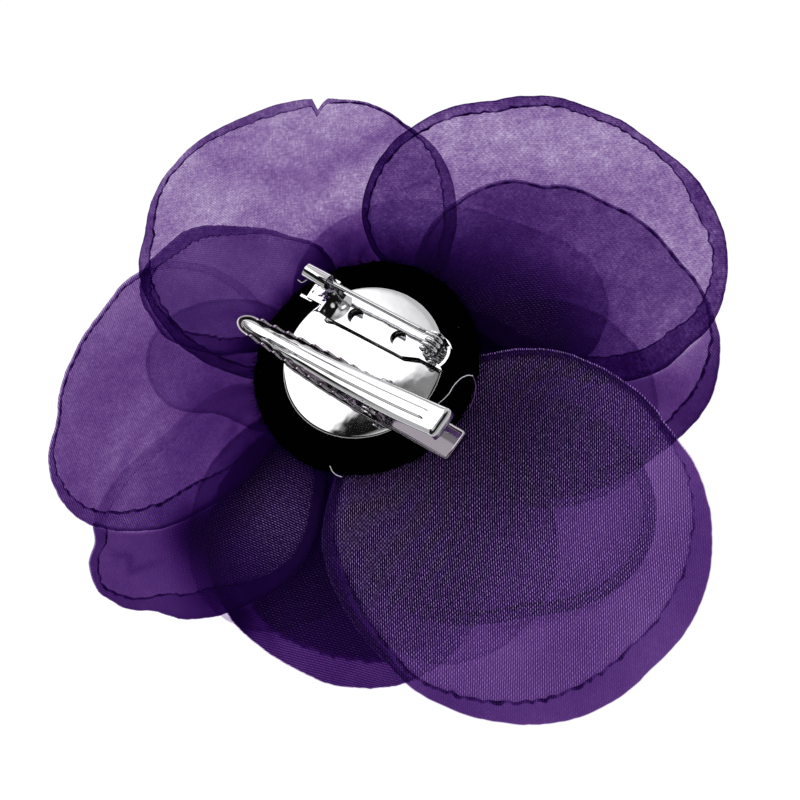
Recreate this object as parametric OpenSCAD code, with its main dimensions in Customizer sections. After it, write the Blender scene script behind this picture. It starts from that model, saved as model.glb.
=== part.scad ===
// Organza flower brooch lying on its face, with a bar pin and a hair clip on its back.
// X runs along the bar pin from its catch to its hinge, Z points out of the flower's back.

/* [Flower] */
// Height of the top petals' roots above the table, before the rims are set down
root_h = 28; // [27:0.5:30]
// Thickness of a petal's cloth
cloth_t = 1; // [1:0.05:1.1]
// Extra thickness of the folded rim
hem_t = 0.6; // [0.2:0.1:0.7]
// Width of the folded rim, as a share of the petal's radius
hem_share = 0.1; // [0.06:0.01:0.14]
// How far the outer petals sink from root to rim
droop = 5; // [3:0.5:6]
// How far the flower leans up on one side and down on the other
lean = 5; // [0:0.5:6]
// Direction of the side that leans up
lean_az = 152; // [120:1:180]
// Step between two layers of petals at their roots
layer_step = 1.4; // [1.35:0.05:1.6]
// Further step between two layers at the rims
layer_spread = 2.5; // [2.4:0.1:3]
// Rise of a petal's rim over its middle
petal_cup = 0.9; // [0:0.1:1]
// Height of the waves along a petal's rim
wave_h = 0.35; // [0:0.05:0.4]

/* [Inner petals] */
// Depth from an inner petal's root to its rim
inner_drop = 18; // [15:0.5:19]
// Sideways slope that lays each inner petal over the next
inner_slope = 0.17; // [0.16:0.01:0.18]

/* [Felt pad and base disc] */
// Radius of the felt pad
felt_r = 19.6; // [18:0.2:21]
// Thickness of the felt pad
felt_t = 3; // [2:0.1:3.5]
// Radius of the steel disc
disc_r = 14; // [13.5:0.1:15]
// Thickness of the steel disc
disc_t = 1; // [0.8:0.1:1.4]

/* [Bar pin] */
// Thickness of the pin's plate
bar_t = 0.9; // [0.7:0.1:1]
// Width of the pin's plate
bar_w = 5; // [4.6:0.1:5.4]
// Sideways place of the plate's centre line
bar_y = 6.2; // [6:0.1:6.3]
// Diameter of the two holes in the plate
hole_d = 2.8; // [2:0.1:3]
// Distance between the two holes
hole_gap = 9; // [8:0.1:10]
// Diameter of the pin's wire
wire_d = 0.75; // [0.7:0.01:0.8]
// Length of the needle from its root to its point
needle_l = 23.7; // [23.4:0.1:24]

/* [Hair clip] */
// Turn of the clip against the bar pin
clip_turn = -2; // [-3:0.5:0]
// Sideways place of the clip's axle
clip_y = -4.8; // [-5:0.1:-4.7]
// Pitch of the jaw's teeth
tooth_pitch = 2.7; // [2.4:0.1:3]
// Height of the clip's axle over the disc
axle_h = 3.2; // [3.1:0.1:3.3]

/* [Hidden] */

organza = [0.45, 0.3, 0.6, 0.8];
organza_deep = [0.35, 0.2, 0.5, 0.9];
felt_black = [0.05, 0.05, 0.05];
polished = [0.85, 0.84, 0.87];
seat = 0.1;         // gap between two metal faces that lie on each other
face = 0.3;         // gap between soft solids, and between jaws
over = 1;           // overrun of a cutting solid

// Outer petals. Each is an oval with a slightly three-cornered outline: a radius about a
// centre at a direction and distance from the flower's axis. Layers count from the back.
NAME = 0;
AZ = 1;
DIST = 2;
RADIUS = 3;
OVAL = 4;
OVAL_AZ = 5;
TRI = 6;
TRI_AZ = 7;
LAYER = 8;
OUTER = [
    ["petal_right", -16.5, 38, 31.9, 0.015, 0, 0.005, 80, 0],
    ["petal_upper_left", 176, 30.5, 15, 0.21, 23, 0.02, 45, 0],
    ["petal_top_right", 75, 40, 28.5, 0.17, 0, 0.04, 87, 1],
    ["petal_left", -148, 37, 23.5, 0.05, 100, 0.065, 15, 1],
    ["petal_top", 150, 34.5, 29, 0.02, 5, 0.015, 75, 2],
    ["petal_lower_left", -114, 35, 20.5, 0.13, 65, 0.07, 105, 2],
    ["petal_far_right", 51, 31.5, 27.5, 0.1, 140, 0.07, 35, 3],
    ["petal_bottom", -71, 28, 23.5, 0.095, 0, 0.015, 115, 3],
    ["petal_under", -13, 28.5, 22.5, 0.13, 40, 0.025, 15, 4]
];
// Petals of the flower's face, in the same form
INNER = [
    ["inner_petal_1", 36, 26, 19, 0, 0, 0, 0, 0],
    ["inner_petal_2", 105, 26, 23.5, 0.22, 15, 0, 0, 0],
    ["inner_petal_3", 186, 30, 17.5, 0.33, 6, 0, 0, 0],
    ["inner_petal_4", 253, 26, 20, 0, 0, 0, 0, 0],
    ["inner_petal_5", 324, 26, 19, 0, 0, 0, 0, 0]
];

root_r = 8;         // the petals lie flat within this distance of the axis
reach = 62;         // distance at which the outer petals' rims are counted
hem_start_r = 23;   // the folded rims fade out under the felt pad
hem_fade = 12;
flat_r = 15;        // cups and waves grow from here outwards
full_r = 40;
wave_n = 5;         // waves round a petal
sectors = 26;
// Rings of a petal from its middle out: share of the radius, share of the rim's fold and
// share of the full thickness.
RINGS = [
    [0.36, 0, 1],
    [0.68, 0, 1],
    [1 - hem_share - 0.02, 0, 1],
    [1 - hem_share, 1, 1],
    [0.98, 1, 1],
    [1, 0.3, 0.4]
];

function clamp(v, lo, hi) = min(max(v, lo), hi);
function share(v, lo, hi) = clamp((v - lo) / (hi - lo), 0, 1.4);
function out_of(p) = norm([p.x, p.y]);

// Height of an outer layer's sheet over the table
function layer_z(p, layer) =
    let (k = share(out_of(p), root_r, reach))
    root_h - droop * pow(k, 1.5) + lean * k * cos(atan2(p.y, p.x) - lean_az)
        - layer * (layer_step + layer_spread * k);

// Height of an inner petal's sheet, tilted so that each lies over the next
inner_root_h = root_h - 8.2;
inner_root_r = 7;
inner_reach = 45;
inner_side = 12;    // the sideways slope ends at this distance from a petal's middle line
function inner_z(p, az) =
    let (
        k = min(share(out_of(p), inner_root_r, inner_reach), 1),
        side = clamp(p.y * cos(az) - p.x * sin(az), -inner_side, inner_side)
    )
    inner_root_h - inner_drop * pow(k, 0.9) + inner_slope * side;

function petal_radius(row, a) =
    row[RADIUS] * (1 + row[OVAL] * cos(2 * (a - row[OVAL_AZ])) + row[TRI] * cos(3 * (a - row[TRI_AZ])));

function petal_xy(row, q, a) =
    let (r = q * petal_radius(row, a))
    [row[DIST] * cos(row[AZ]) + r * cos(a), row[DIST] * sin(row[AZ]) + r * sin(a)];

// Middle height of the cloth at a share q of the radius, with its cup and its rim waves
function petal_z(row, q, a, inner) =
    let (
        p = petal_xy(row, q, a),
        away = clamp((out_of(p) - flat_r) / (full_r - flat_r), 0, 1),
        cup = petal_cup * (q * q - 0.4),
        wave = wave_h * pow(q, 3) * cos(wave_n * (a - row[AZ]))
    )
    (inner ? inner_z(p, row[AZ]) : layer_z(p, row[LAYER])) + away * (cup + wave);

function ring_points(row, ring, side, inner) =
    [for (j = [0 : sectors - 1])
        let (
            a = 360 * j / sectors,
            p = petal_xy(row, ring[0], a),
            fade = clamp((out_of(p) - hem_start_r) / hem_fade, 0, 1),
            fold = side > 0 ? hem_t * ring[1] * (inner ? 1 : fade) : 0
        )
        [p.x, p.y, petal_z(row, ring[0], a, inner) + side * cloth_t / 2 * ring[2] + fold]];

function side_points(row, side, inner) =
    concat(
        [concat(petal_xy(row, 0, 0), petal_z(row, 0, 0, inner) + side * cloth_t / 2)],
        [for (ring = RINGS) each ring_points(row, ring, side, inner)]
    );

side_count = 1 + len(RINGS) * sectors;
function next_j(j) = (j + 1) % sectors;
function ring_at(base, i, j) = base + 1 + i * sectors + j;

// Triangles of the top, which the bottom repeats turned over
function top_faces(base) = concat(
    [for (j = [0 : sectors - 1]) [base, ring_at(base, 0, next_j(j)), ring_at(base, 0, j)]],
    [for (i = [0 : len(RINGS) - 2], j = [0 : sectors - 1])
        [ring_at(base, i, j), ring_at(base, i, next_j(j)), ring_at(base, i + 1, j)]],
    [for (i = [0 : len(RINGS) - 2], j = [0 : sectors - 1])
        [ring_at(base, i, next_j(j)), ring_at(base, i + 1, next_j(j)), ring_at(base, i + 1, j)]]
);
function turned(faces) = [for (f = faces) [f[2], f[1], f[0]]];
function rim_faces() =
    let (last = len(RINGS) - 1)
    [for (j = [0 : sectors - 1]) each [
        [ring_at(0, last, j), ring_at(0, last, next_j(j)), ring_at(side_count, last, j)],
        [ring_at(0, last, next_j(j)), ring_at(side_count, last, next_j(j)), ring_at(side_count, last, j)]
    ]];

// Lowest point of the inner petals, on which the flower lies
lowest = min([for (row = INNER, p = side_points(row, -1, true)) p.z]);
lift = -lowest;

// The flower's axis stands where the whole part's middle comes over the origin
outer_rim = [for (row = OUTER, j = [0 : sectors - 1]) petal_xy(row, 1, 360 * j / sectors)];
hub_x = -(min([for (p = outer_rim) p.x]) + max([for (p = outer_rim) p.x])) / 2;
hub_y = -(min([for (p = outer_rim) p.y]) + max([for (p = outer_rim) p.y])) / 2;

module petal(row, inner = false) {
    at_hub(0)
        polyhedron(
            points = concat(side_points(row, 1, inner), side_points(row, -1, inner)),
            faces = concat(top_faces(0), turned(top_faces(side_count)), rim_faces())
        );
}

// Places the pieces that are measured from the flower's axis
module at_hub(z) {
    translate([hub_x, hub_y, lift + z]) children();
}

felt_z = root_h + cloth_t / 2 + 1;
disc_z = felt_z + felt_t + seat;
metal_z = disc_z + disc_t + seat;

// Knot of stitched roots: a stem through the petals and a domed end on the flower's face,
// on which the inner petals' roots rest
knot_r = 8.6;
knot_h = 4;
stem_r = 2.8;
knot_top = inner_root_h - 2.6;
module root_knot() {
    dome_r = (knot_r * knot_r + knot_h * knot_h) / (2 * knot_h);
    color(organza_deep) at_hub(0) {
        translate([0, 0, knot_top - 1]) cylinder(h = felt_z - face - knot_top + 1, r = stem_r, $fn = 48);
        intersection() {
            translate([0, 0, knot_top - knot_h + dome_r]) sphere(r = dome_r, $fn = 96);
            translate([0, 0, knot_top - knot_h]) cylinder(h = knot_h, r = knot_r, $fn = 96);
        }
    }
}

// Felt pad with softly rounded edges
module felt_pad() {
    edge = felt_t * 0.4;
    color(felt_black) at_hub(felt_z) rotate_extrude($fn = 96) {
        square([felt_r - edge, felt_t]);
        translate([0, edge]) square([felt_r, felt_t - 2 * edge]);
        for (y = [edge, felt_t - edge]) translate([felt_r - edge, y]) intersection() {
            circle(r = edge, $fn = 32);
            translate([0, -edge]) square(2 * edge);
        }
    }
}

// Steel disc with a rounded upper edge
module base_disc() {
    edge = disc_t * 0.4;
    color(polished) at_hub(disc_z) rotate_extrude($fn = 96) {
        square([disc_r, disc_t - edge]);
        square([disc_r - edge, disc_t]);
        translate([disc_r - edge, disc_t - edge]) intersection() {
            circle(r = edge, $fn = 32);
            square(2 * edge);
        }
    }
}

// Bar pin, measured from the disc's top face
hinge_x = 10.5;                 // coil and rivet
coil_r = 1.4;                   // wire's middle to the rivet's middle
coil_turns = 3;
coil_pitch = 0.9;
hinge_z = bar_t + seat + coil_r + wire_d / 2;
needle_y = bar_y + 2.3;
needle_z = hinge_z + coil_r;
needle_root_x = hinge_x - 2.2;  // the needle swings about this point
coil_low_y = needle_y - coil_turns * coil_pitch;
ear_t = 0.35;
ear_y = needle_y + wire_d / 2 + 0.12;
rivet_r = 0.5;
catch_r = 1.42;                 // outside of the rolled catch
catch_t = 0.4;
catch_x = [-15.9, -11.2];
catch_y = needle_y - 0.35;
catch_z = needle_z + 0.42;
catch_lip_z = catch_z + 0.35;   // the needle slips out below this edge
step_h = 1;                     // the catch's end of the plate is raised by this
bar_end_x = -14.6;

module along_x(x0, x1, r, y, z, n = 48) {
    translate([x0, y, z]) rotate([0, 90, 0]) cylinder(h = x1 - x0, r = r, $fn = n);
}

module along_y(y0, y1, r, x, z, n = 48) {
    translate([x, y0, z]) rotate([-90, 0, 0]) cylinder(h = y1 - y0, r = r, $fn = n);
}

// Plate with its raised end, cut from a folded strip, with a tapered corner by the hinge
module bar_plate() {
    low_y = bar_y - bar_w / 2;
    difference() {
        translate([0, low_y + bar_w, 0]) rotate([90, 0, 0]) linear_extrude(bar_w)
            polygon([
                [bar_end_x, step_h], [-11.4, step_h], [-9.4, 0], [hinge_x - 1, 0],
                [hinge_x - 1, bar_t], [-9, bar_t], [-11, step_h + bar_t], [bar_end_x, step_h + bar_t]
            ]);
        for (side = [-1, 1]) translate([-0.9 + side * hole_gap / 2, bar_y, -over])
            cylinder(h = bar_t + 2 * over, d = hole_d, $fn = 48);
        translate([bar_end_x - over, low_y - over, 0]) cube([over + 3.2, over + 1.2, step_h + bar_t + over]);
        translate([0, low_y, -over]) linear_extrude(bar_t + 2 * over)
            polygon([[6, -over], [6, 0], [8.8, 1.1], [12, 1.1], [12, -over]]);
    }
}

// Rolled catch: a tab that rises from the plate's edge and curls over the needle's point
module bar_catch() {
    difference() {
        along_x(catch_x[0], catch_x[1], catch_r, catch_y, catch_z);
        along_x(catch_x[0] - over, catch_x[1] + over, catch_r - catch_t, catch_y, catch_z);
        translate([catch_x[0] - over, catch_y - 2 * catch_r, catch_z - 2 * catch_r])
            cube([catch_x[1] - catch_x[0] + 2 * over, 2 * catch_r, catch_lip_z - catch_z + 2 * catch_r]);
        translate([catch_x[0] - over, catch_y - 0.01, catch_z - 2 * catch_r])
            cube([catch_x[1] - catch_x[0] + 2 * over, 2 * catch_r, 2 * catch_r]);
    }
    tab_x = [catch_x[0] + 0.4, -10];
    translate([tab_x[0], catch_y + catch_r - catch_t, step_h])
        cube([tab_x[1] - tab_x[0], catch_t, catch_z - step_h - 1.2]);
    translate([catch_x[0], catch_y + catch_r - catch_t, catch_z - 1.6])
        cube([catch_x[1] - catch_x[0], catch_t, 1.6]);
    flange_y = bar_y + bar_w / 2 - 0.5;
    translate([tab_x[0], flange_y, step_h])
        cube([tab_x[1] - tab_x[0] - 1, catch_y + catch_r - flange_y, bar_t]);
}

// Round end of the plate with a low wall behind the coil, and the ear that holds the rivet
module bar_hinge() {
    cup = [hinge_x - 0.2, bar_y + 0.2];
    cup_r = 3.65;
    cup_h = 2.2;
    low_y = bar_y - bar_w / 2 + 1.1;
    ear_r = 1.5;
    difference() {
        translate([cup.x, cup.y, 0]) cylinder(h = bar_t, r = cup_r, $fn = 96);
        translate([cup.x - 2 * cup_r, low_y - 2 * cup_r, -over]) cube([4 * cup_r, 2 * cup_r, bar_t + 2 * over]);
    }
    intersection() {
        difference() {
            translate([cup.x, cup.y, 0]) cylinder(h = cup_h, r = cup_r, $fn = 96);
            translate([cup.x, cup.y, -over]) cylinder(h = cup_h + 2 * over, r = cup_r - 0.5, $fn = 96);
        }
        translate([cup.x, cup.y, 0]) linear_extrude(cup_h)
            polygon([[0, 0], for (a = [-25, 8, 41]) 2 * cup_r * [cos(a), sin(a)]]);
    }
    difference() {
        union() {
            along_y(ear_y, ear_y + ear_t, ear_r, hinge_x, hinge_z);
            translate([hinge_x - ear_r, ear_y, 0]) cube([2 * ear_r, ear_t, hinge_z]);
            translate([hinge_x - ear_r, ear_y - 1, 0]) cube([2 * ear_r, 1 + ear_t, bar_t]);
        }
        along_y(ear_y - over, ear_y + ear_t + over, rivet_r + seat, hinge_x, hinge_z);
    }
}

module pin_bar() {
    color(polished) at_hub(metal_z) {
        bar_plate();
        bar_catch();
        bar_hinge();
        translate([bar_end_x - 1.4, bar_y - bar_w / 2 + 0.9, step_h]) cube([2.4, 0.5, 0.4]);
    }
}

// Rivet through the ear and the coil, with a round head in the coil's open end
module pin_rivet() {
    head_t = 0.2;
    head_y = coil_low_y - 0.1;
    color(polished) at_hub(metal_z) {
        along_y(head_y, ear_y + ear_t + seat + head_t, rivet_r, hinge_x, hinge_z);
        along_y(ear_y + ear_t + seat, ear_y + ear_t + seat + head_t, 0.75, hinge_x, hinge_z);
        intersection() {
            translate([hinge_x, head_y, hinge_z]) sphere(r = 0.8, $fn = 48);
            along_y(head_y - 1, head_y + head_t, 0.8, hinge_x, hinge_z);
        }
    }
}

// Wire wound about Y: rings of points along a helix, closed at both ends
wire_sides = 8;
function helix_points(r, wire_r, pitch, turns, steps, y0, sense) =
    [for (i = [0 : steps]) let (a = 90 + sense * 360 * turns * i / steps)
        each [for (j = [0 : wire_sides - 1]) let (b = 360 * j / wire_sides)
            [(r + wire_r * cos(b)) * cos(a), y0 - pitch * turns * i / steps + wire_r * sin(b),
                (r + wire_r * cos(b)) * sin(a)]]];

function tube_faces(steps, flip) =
    let (
        n = wire_sides,
        walls = [for (i = [0 : steps - 1], j = [0 : n - 1]) each [
            [i * n + j, i * n + (j + 1) % n, (i + 1) * n + j],
            [i * n + (j + 1) % n, (i + 1) * n + (j + 1) % n, (i + 1) * n + j]
        ]],
        first = [for (j = [1 : n - 2]) [0, j + 1, j]],
        last = [for (j = [1 : n - 2]) [steps * n, steps * n + j, steps * n + j + 1]],
        all = concat(walls, first, last)
    )
    flip ? turned(all) : all;

// Coil of the pin wire, which begins with the short straight stub that the needle grows from
module pin_coil() {
    steps = coil_turns * 14;
    stub_x = needle_root_x - hinge_x + wire_d / 2 + seat;
    stub = [for (j = [0 : wire_sides - 1]) let (b = 360 * j / wire_sides)
        [stub_x, needle_y + wire_d / 2 * sin(b), coil_r + wire_d / 2 * cos(b)]];
    color(polished) at_hub(metal_z) translate([hinge_x, 0, hinge_z])
        polyhedron(
            points = concat(stub, helix_points(coil_r, wire_d / 2, coil_pitch, coil_turns, steps, needle_y, -1)),
            faces = tube_faces(steps + 1, false)
        );
}

// Needle: its root, a straight stretch, then a slow taper and a sharp point under the catch
needle_straight = 18;
needle_taper = 3;
module pin_needle() {
    taper_x = needle_root_x - needle_straight;
    point_x = taper_x - needle_taper;
    taper_r = wire_d / 2 - 0.045;
    color(polished) at_hub(metal_z) {
        translate([needle_root_x, needle_y, needle_z]) sphere(d = wire_d, $fn = 48);
        along_x(taper_x, needle_root_x, wire_d / 2, needle_y, needle_z);
        translate([taper_x, needle_y, needle_z]) rotate([0, -90, 0])
            cylinder(h = needle_taper, r1 = wire_d / 2, r2 = taper_r, $fn = 48);
        translate([point_x, needle_y, needle_z]) rotate([0, -90, 0])
            cylinder(h = needle_l - needle_straight - needle_taper, r1 = taper_r, r2 = 0.08, $fn = 48);
    }
}

// Hair clip, measured from the disc's top face along its own centre line
jaw_t = 0.6;
wall_t = 0.5;
axle_x = 8;
axle_r = 0.5;
ear_r = 1.6;
// Stations of the lower jaw: place along the clip and half width
LOWER = [[-20.4, 1.8], [-16, 2.1], [-10, 2.6], [-4, 2.95], [4, 3.1], [12, 3], [20, 2.9], [23, 2.85], [23.8, 2.4]];
// Stations of the upper jaw
UPPER = [[-20.4, 1.05], [-16, 1.35], [-10, 1.8], [-4, 2.1], [2, 2.35], [9, 2.6], [14, 2.7], [24, 2.7]];
jaw_tip_x = -23.4;

module at_clip() {
    at_hub(metal_z) translate([0, clip_y, 0]) rotate([0, 0, clip_turn]) children();
}

// Outline of a jaw: a rounded tip and the stations of one side, mirrored to the other
function jaw_outline(stations, inset, tip_x) =
    let (
        r = stations[0][1] - inset,
        tip = [for (a = [90 : 15 : 270])
            [stations[0][0] + (stations[0][0] - tip_x - inset) * cos(a), r * sin(a)]],
        low = [for (s = stations) [s[0] - (s == stations[len(stations) - 1] ? inset : 0), -s[1] + inset]],
        high = [for (i = [len(low) - 1 : -1 : 1]) [low[i][0], -low[i][1]]]
    )
    concat(tip, [for (i = [1 : len(low) - 1]) low[i]], high);

module jaw_side(x0, x1, h) {
    translate([0, 4, 0]) rotate([90, 0, 0]) linear_extrude(8) polygon(h);
}

// Side view of the lower jaw's walls: a low tip, a row of teeth, then a plain rim
function wall_profile() =
    let (
        tooth_low = 1.3,
        tooth_top = 2.4,
        first = -20.2,
        teeth = [for (i = [0 : 8]) each [
            [first + i * tooth_pitch, tooth_low],
            [first + (i + 0.5) * tooth_pitch, tooth_top]
        ]],
        last_x = first + 9 * tooth_pitch
    )
    concat([[-24, 0], [-24, 1.3]], teeth, [[last_x, tooth_low], [12, 1.2], [20, 1.3], [25, 1.7], [25, 0]]);

module clip_lower_jaw() {
    color(polished) at_clip() {
        linear_extrude(jaw_t) polygon(jaw_outline(LOWER, 0, jaw_tip_x));
        intersection() {
            difference() {
                linear_extrude(6) polygon(jaw_outline(LOWER, 0, jaw_tip_x));
                translate([0, 0, -over]) linear_extrude(6 + 2 * over)
                    polygon(jaw_outline(LOWER, wall_t, jaw_tip_x));
            }
            jaw_side(-24, 25, wall_profile());
        }
        for (side = [-1, 1]) difference() {
            union() {
                along_y(side * 2.8 - wall_t / 2, side * 2.8 + wall_t / 2, ear_r, axle_x, axle_h);
                translate([axle_x - ear_r - 0.6, side * 2.8 - wall_t / 2, 0])
                    cube([2 * ear_r + 1.2, wall_t, axle_h - 0.6]);
            }
            along_y(side * 2.8 - over, side * 2.8 + over, axle_r + seat, axle_x, axle_h);
        }
    }
}

// Height of the upper jaw's middle: low over the teeth, then a long rise to the thumb end
function lever_z(x) = 1.4 + 9.9 * pow(share(x, -24, 24), 2.1);

lever_t = 0.7;
lever_end_x = 22.5;
lip_l = 1.7;
function lever_band(x0, x1, low, high) =
    let (n = 30)
    concat(
        [for (i = [0 : n]) let (x = x0 + (x1 - x0) * i / n) [x, lever_z(x) + low]],
        [for (i = [n : -1 : 0]) let (x = x0 + (x1 - x0) * i / n) [x, lever_z(x) + high]]
    );

module clip_upper_jaw() {
    tip_x = -22.2;
    ear_y = 2.1;
    lip_z = lever_z(lever_end_x);
    color(polished) at_clip() {
        intersection() {
            linear_extrude(16) polygon(jaw_outline(UPPER, 0, tip_x));
            jaw_side(tip_x, lever_end_x, concat(
                [for (p = lever_band(-24, lever_end_x, -lever_t / 2, 0)) if (p.y < lever_z(p.x)) p],
                [
                    [lever_end_x + lip_l - 0.7, lip_z - lip_l - lever_t / 2],
                    [lever_end_x + lip_l, lip_z - lip_l - lever_t / 2 + 0.4],
                    [lever_end_x + 0.4, lip_z + lever_t / 2]
                ],
                [for (i = [30 : -1 : 0]) let (x = -24 + (lever_end_x + 24) * i / 30) [x, lever_z(x) + lever_t / 2]]
            ));
        }
        intersection() {
            linear_extrude(16) {
                translate([-16.5, 0]) circle(r = 0.7, $fn = 32);
                translate([-16.5, -0.7]) square([36, 1.4]);
                translate([19.5, 0]) circle(r = 0.7, $fn = 32);
            }
            jaw_side(-18, 21, lever_band(-18, 21, 0, lever_t / 2 + 0.35));
        }
        for (side = [-1, 1]) difference() {
            union() {
                along_y(side * ear_y - wall_t / 2, side * ear_y + wall_t / 2, ear_r - 0.2, axle_x, axle_h);
                translate([axle_x - ear_r + 0.2, side * ear_y - wall_t / 2, axle_h])
                    cube([2 * ear_r - 0.4, wall_t, lever_z(axle_x - ear_r + 0.2) - axle_h]);
            }
            along_y(side * ear_y - over, side * ear_y + over, axle_r + seat, axle_x, axle_h);
        }
    }
}

module clip_axle() {
    head_t = 0.3;
    half = 2.8 + wall_t / 2 + seat + head_t;
    color(polished) at_clip() {
        along_y(-half, half, axle_r, axle_x, axle_h);
        for (y = [-half, half - head_t]) along_y(y, y + head_t, 0.9, axle_x, axle_h);
    }
}

module clip_spring() {
    turns = 4;
    spring_pitch = 0.75;
    steps = turns * 12;
    color(polished) at_clip() translate([axle_x, 0, axle_h])
        polyhedron(
            points = helix_points(1, 0.25, spring_pitch, turns, steps, turns * spring_pitch / 2, -1),
            faces = tube_faces(steps, false)
        );
}

for (row = OUTER) color(organza) petal(row);
for (row = INNER) color(organza_deep) petal(row, true);
root_knot();
felt_pad();
base_disc();
pin_bar();
pin_rivet();
pin_coil();
pin_needle();
clip_lower_jaw();
clip_upper_jaw();
clip_axle();
clip_spring();
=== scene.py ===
import math

import bpy
import numpy as np
from mathutils import Matrix, Vector


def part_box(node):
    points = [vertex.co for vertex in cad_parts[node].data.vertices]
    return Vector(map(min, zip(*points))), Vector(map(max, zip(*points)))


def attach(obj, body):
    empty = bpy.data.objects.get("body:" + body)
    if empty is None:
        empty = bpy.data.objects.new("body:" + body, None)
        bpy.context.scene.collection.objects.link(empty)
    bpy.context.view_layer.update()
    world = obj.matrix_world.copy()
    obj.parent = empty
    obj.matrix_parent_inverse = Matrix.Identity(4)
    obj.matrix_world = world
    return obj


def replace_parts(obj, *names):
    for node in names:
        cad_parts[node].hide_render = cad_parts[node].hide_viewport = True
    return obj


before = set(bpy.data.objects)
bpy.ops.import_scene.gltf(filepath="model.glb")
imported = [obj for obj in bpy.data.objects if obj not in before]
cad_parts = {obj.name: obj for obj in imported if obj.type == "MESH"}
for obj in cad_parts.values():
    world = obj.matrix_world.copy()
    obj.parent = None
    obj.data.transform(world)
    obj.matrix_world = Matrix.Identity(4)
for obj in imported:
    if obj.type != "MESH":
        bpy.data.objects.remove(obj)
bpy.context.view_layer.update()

MM = 0.001
TAU = 2 * math.pi

# Places in the frame: the flower's axis, the disc's top face and the petals' datum
disc_low, disc_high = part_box("base_disc")
HUB = np.array([(disc_low[0] + disc_high[0]) / 2, (disc_low[1] + disc_high[1]) / 2]) / MM
DISC_TOP = disc_high[2] / MM
DATUM = DISC_TOP - 33.6
METAL = DISC_TOP + 0.1
FELT_TOP = DISC_TOP - 1

# Camera at the photograph's angle
CAMERA_SIDE = Vector((0.8025, 0.5454, -0.2418))
CAMERA_UP = Vector((-0.4285, 0.809, 0.4024))
CAMERA_BACK = Vector((0.4151, -0.2193, 0.8829))
CAMERA_DISTANCE = 600
MM_PER_PIXEL = 0.1683
PICTURE = 800
HUB_PIXEL = (362.4, 361.2)


def add_camera():
    hub = Vector((HUB[0], HUB[1], DISC_TOP))
    right, down = PICTURE / 2 - HUB_PIXEL[0], PICTURE / 2 - HUB_PIXEL[1]
    target = hub + MM_PER_PIXEL * (right * CAMERA_SIDE - down * CAMERA_UP)
    eye = (target + CAMERA_DISTANCE * CAMERA_BACK) * MM
    data = bpy.data.cameras.new("camera")
    data.sensor_width = 36
    data.lens = data.sensor_width * CAMERA_DISTANCE / (PICTURE * MM_PER_PIXEL)
    data.clip_start = 0.01
    data.clip_end = 20
    camera = bpy.data.objects.new("camera", data)
    turn = Matrix((CAMERA_SIDE, CAMERA_UP, CAMERA_BACK)).transposed().to_4x4()
    camera.matrix_world = Matrix.Translation(eye) @ turn
    bpy.context.scene.collection.objects.link(camera)
    bpy.context.scene.camera = camera


# Node helpers
def new_material(name):
    material = bpy.data.materials.new(name)
    material.use_nodes = True
    material.node_tree.nodes.clear()
    return material, Nodes(material.node_tree)


class Nodes:
    def __init__(self, tree):
        self.tree = tree

    def add(self, kind, values=None, **settings):
        node = self.tree.nodes.new(kind)
        for key, value in settings.items():
            setattr(node, key, value)
        for key, value in (values or {}).items():
            if isinstance(value, bpy.types.NodeSocket):
                self.tree.links.new(value, node.inputs[key])
            else:
                node.inputs[key].default_value = value
        return node

    def math(self, operation, a, b=0.0):
        return self.add("ShaderNodeMath", {0: a, 1: b}, operation=operation).outputs[0]

    def noise(self, vector, scale, detail=2.0, roughness=0.5):
        values = {"Vector": vector, "Scale": scale, "Detail": detail, "Roughness": roughness}
        return self.add("ShaderNodeTexNoise", values).outputs["Fac"]

    def span(self, value, low, high, to_low=0.0, to_high=1.0):
        node = self.add("ShaderNodeMapRange", {0: value, 1: low, 2: high, 3: to_low, 4: to_high})
        return node.outputs[0]

    def blend(self, factor, low, high):
        return self.add("ShaderNodeMix", {0: factor, 6: low, 7: high}, data_type="RGBA").outputs[2]

    def choose(self, factor, low, high):
        return self.add("ShaderNodeMix", {0: factor, 2: low, 3: high}, data_type="FLOAT").outputs[0]

    def dot(self, vector, way):
        node = self.add("ShaderNodeVectorMath", {0: vector, 1: way}, operation="DOT_PRODUCT")
        return node.outputs["Value"]

    def distance(self, vector, place):
        """Distance in metres from a place that is given in millimetres."""
        place = tuple(value * MM for value in place)
        return self.add("ShaderNodeVectorMath", {0: vector, 1: place}, operation="DISTANCE").outputs["Value"]

    def bump(self, height, normal=None, strength=1.0, distance=1.0):
        node = self.add("ShaderNodeBump", {"Height": height, "Strength": strength, "Distance": distance})
        if normal is not None:
            self.tree.links.new(normal, node.inputs["Normal"])
        return node.outputs[0]

    def output(self, shader):
        node = self.add("ShaderNodeOutputMaterial")
        self.tree.links.new(shader, node.inputs["Surface"])


# Mesh helpers: points are in millimetres in the frame
def mesh_piece(name, points, faces, material, body="flower"):
    mesh = bpy.data.meshes.new(name)
    mesh.from_pydata((np.asarray(points, float) * MM).tolist(), [], faces)
    mesh.validate()
    mesh.polygons.foreach_set("use_smooth", [True] * len(mesh.polygons))
    mesh.materials.append(material)
    piece = bpy.data.objects.new(name, mesh)
    bpy.context.scene.collection.objects.link(piece)
    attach(piece, body)
    return piece


def attribute(piece, name, values):
    layer = piece.data.attributes.new(name, "FLOAT", "POINT")
    layer.data.foreach_set("value", np.asarray(values, float))


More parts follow.
